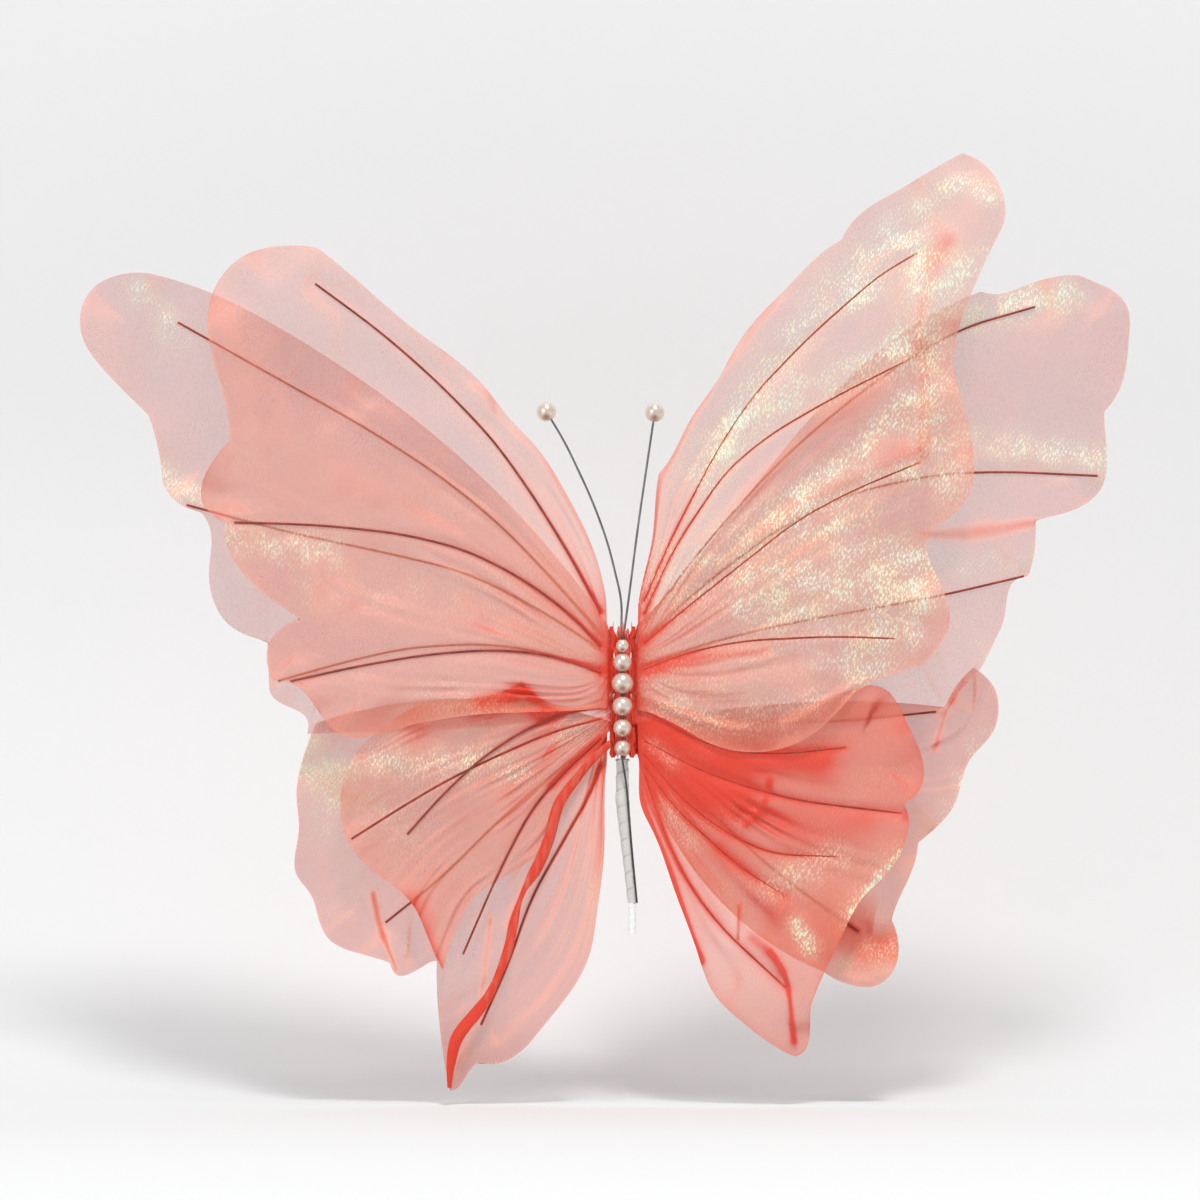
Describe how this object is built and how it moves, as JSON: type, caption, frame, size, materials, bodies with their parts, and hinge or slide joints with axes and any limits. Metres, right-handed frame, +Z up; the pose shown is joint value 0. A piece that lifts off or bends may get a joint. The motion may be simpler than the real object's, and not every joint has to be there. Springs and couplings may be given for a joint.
{
  "type": "fairy wings",
  "caption": "Wired organza butterfly wings with layered petals, a pearl-beaded body, curled antennae and a tape-wrapped stem to hold or pin.",
  "frame": {"origin": "centre of the stem's lower end, where the wings are held", "axes": "+Z up along the stem's tip, -Y towards the pearls and the front petals, +X to the viewer's right from the front"},
  "size_m": [0.4709, 0.0379, 0.4215],
  "materials": {
    "organza": "sheer iridescent red organza",
    "covered_wire": "dark red thread-covered wire",
    "pearl": "pale cream imitation pearl",
    "steel_wire": "bare grey steel wire",
    "bare_wire": "dark annealed beading wire",
    "silver_wire": "bright silver wire",
    "thread": "dark red binding thread",
    "floral_tape": "matt crinkled white floral tape",
    "tip_wrap": "smooth white tape"
  },
  "bodies": {
    "stem": {"spine_wires": "steel_wire", "stem_tape": "floral_tape", "tip_tape": "tip_wrap", "collar_ring": "silver_wire", "root_binding": "thread", "bead_wire": "bare_wire", "body_pearl_1": "pearl", "body_pearl_2": "pearl", "body_pearl_3": "pearl", "body_pearl_4": "pearl", "body_pearl_5": "pearl", "body_pearl_6": "pearl"},
    "left_lower_back": {"left_lower_back_leading_vein": "covered_wire", "left_lower_back_petal": "organza", "left_lower_back_trailing_vein": "covered_wire"},
    "left_upper_back": {"left_upper_back_leading_vein": "covered_wire", "left_upper_back_middle_vein": "covered_wire", "left_upper_back_petal": "organza", "left_upper_back_trailing_vein": "covered_wire"},
    "left_lower_front": {"left_lower_front_leading_vein": "covered_wire", "left_lower_front_middle_vein": "covered_wire", "left_lower_front_petal": "organza", "left_lower_front_trailing_vein": "covered_wire"},
    "left_upper_front": {"left_upper_front_leading_vein": "covered_wire", "left_upper_front_middle_vein": "covered_wire", "left_upper_front_petal": "organza", "left_upper_front_trailing_vein": "covered_wire"},
    "right_lower_back": {"right_lower_back_leading_vein": "covered_wire", "right_lower_back_petal": "organza", "right_lower_back_trailing_vein": "covered_wire"},
    "right_upper_back": {"right_upper_back_leading_vein": "covered_wire", "right_upper_back_middle_vein": "covered_wire", "right_upper_back_petal": "organza", "right_upper_back_trailing_vein": "covered_wire"},
    "right_lower_front": {"right_lower_front_fourth_vein": "covered_wire", "right_lower_front_leading_vein": "covered_wire", "right_lower_front_petal": "organza", "right_lower_front_second_vein": "covered_wire", "right_lower_front_third_vein": "covered_wire", "right_lower_front_trailing_vein": "covered_wire"},
    "right_upper_front": {"right_upper_front_leading_vein": "covered_wire", "right_upper_front_petal": "organza", "right_upper_front_second_vein": "covered_wire", "right_upper_front_third_vein": "covered_wire", "right_upper_front_trailing_vein": "covered_wire"},
    "antenna_left": {"antenna_wire_left": "steel_wire", "antenna_pearl_left": "pearl"},
    "antenna_right": {"antenna_wire_right": "steel_wire", "antenna_pearl_right": "pearl"}
  },
  "joints": [
    {"name": "left_wing_fold", "type": "hinge", "parent": "stem", "child": "left_lower_back", "pos_m": [-0.0083, 0, 0.11], "axis": [0, 0, 1], "range_deg": [-75, 15]},
    {"name": "left_upper_back_spread", "type": "hinge", "parent": "left_lower_back", "child": "left_upper_back", "pos_m": [-0.0083, 0, 0.11], "axis": [0, 0, 1], "range_deg": [0, 12]},
    {"name": "left_lower_front_spread", "type": "hinge", "parent": "left_upper_back", "child": "left_lower_front", "pos_m": [-0.0083, 0, 0.11], "axis": [0, 0, 1], "range_deg": [0, 12]},
    {"name": "left_upper_front_spread", "type": "hinge", "parent": "left_lower_front", "child": "left_upper_front", "pos_m": [-0.0083, 0, 0.11], "axis": [0, 0, 1], "range_deg": [0, 12]},
    {"name": "right_wing_fold", "type": "hinge", "parent": "stem", "child": "right_lower_back", "pos_m": [-0.0003, 0, 0.11], "axis": [0, 0, -1], "range_deg": [-75, 15]},
    {"name": "right_upper_back_spread", "type": "hinge", "parent": "right_lower_back", "child": "right_upper_back", "pos_m": [-0.0003, 0, 0.11], "axis": [0, 0, -1], "range_deg": [0, 12]},
    {"name": "right_lower_front_spread", "type": "hinge", "parent": "right_upper_back", "child": "right_lower_front", "pos_m": [-0.0003, 0, 0.11], "axis": [0, 0, -1], "range_deg": [0, 12]},
    {"name": "right_upper_front_spread", "type": "hinge", "parent": "right_lower_front", "child": "right_upper_front", "pos_m": [-0.0003, 0, 0.11], "axis": [0, 0, -1], "range_deg": [0, 12]},
    {"name": "antenna_left_bend", "type": "hinge", "parent": "stem", "child": "antenna_left", "pos_m": [-0.0049, 0, 0.1348], "axis": [-1, 0, 0], "range_deg": [-30, 30]},
    {"name": "antenna_right_bend", "type": "hinge", "parent": "stem", "child": "antenna_right", "pos_m": [-0.0037, 0, 0.1348], "axis": [-1, 0, 0], "range_deg": [-30, 30]}
  ]
}
